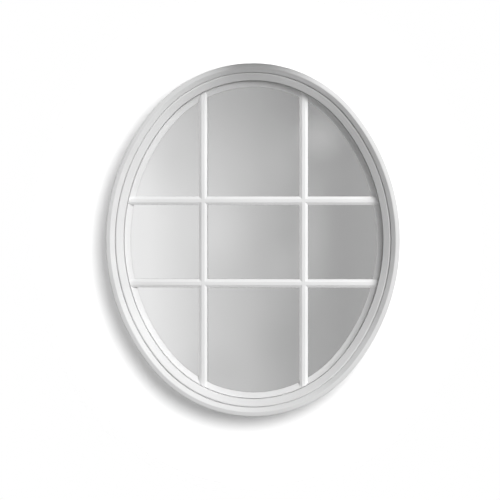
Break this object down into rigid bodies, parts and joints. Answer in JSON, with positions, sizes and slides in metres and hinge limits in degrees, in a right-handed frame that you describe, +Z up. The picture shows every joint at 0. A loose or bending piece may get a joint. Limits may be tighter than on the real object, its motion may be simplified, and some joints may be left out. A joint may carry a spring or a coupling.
{
  "type": "oval window",
  "caption": "Fixed oval window in a white moulded timber frame, with double glazing and applied glazing bars that divide it into small lights.",
  "frame": {"origin": "centre of the oval, in the plane of the wall's outer face, where the back of the casing seats", "axes": "+Z up, +X to the right seen from outdoors, -Y outdoors and +Y into the wall towards the room"},
  "size_m": [0.762, 0.135, 0.9138],
  "materials": {
    "painted_timber": "satin white paint",
    "float_glass": "clear, coated on its inner face",
    "spacer_butyl": "matte",
    "coated_bar": "satin white coating",
    "glazing_tape": "closed-cell foam",
    "setting_rubber": "matte"
  },
  "bodies": {
    "root": {"bedding_tape": "glazing_tape", "casing": "painted_timber", "cavity_bar_left": "coated_bar", "cavity_bar_lower": "coated_bar", "cavity_bar_right": "coated_bar", "cavity_bar_upper": "coated_bar", "edge_spacer": "spacer_butyl", "frame": "painted_timber", "inner_bar_left": "painted_timber", "inner_bar_lower_left": "painted_timber", "inner_bar_lower_middle": "painted_timber", "inner_bar_lower_right": "painted_timber", "inner_bar_right": "painted_timber", "inner_bar_tape": "glazing_tape", "inner_bar_upper_left": "painted_timber", "inner_bar_upper_middle": "painted_timber", "inner_bar_upper_right": "painted_timber", "inner_pane": "float_glass", "inner_stop": "painted_timber", "outer_bar_left": "painted_timber", "outer_bar_lower_left": "painted_timber", "outer_bar_lower_middle": "painted_timber", "outer_bar_lower_right": "painted_timber", "outer_bar_right": "painted_timber", "outer_bar_tape": "glazing_tape", "outer_bar_upper_left": "painted_timber", "outer_bar_upper_middle": "painted_timber", "outer_bar_upper_right": "painted_timber", "outer_bead": "painted_timber", "outer_pane": "float_glass", "setting_blocks": "setting_rubber"}
  },
  "joints": []
}
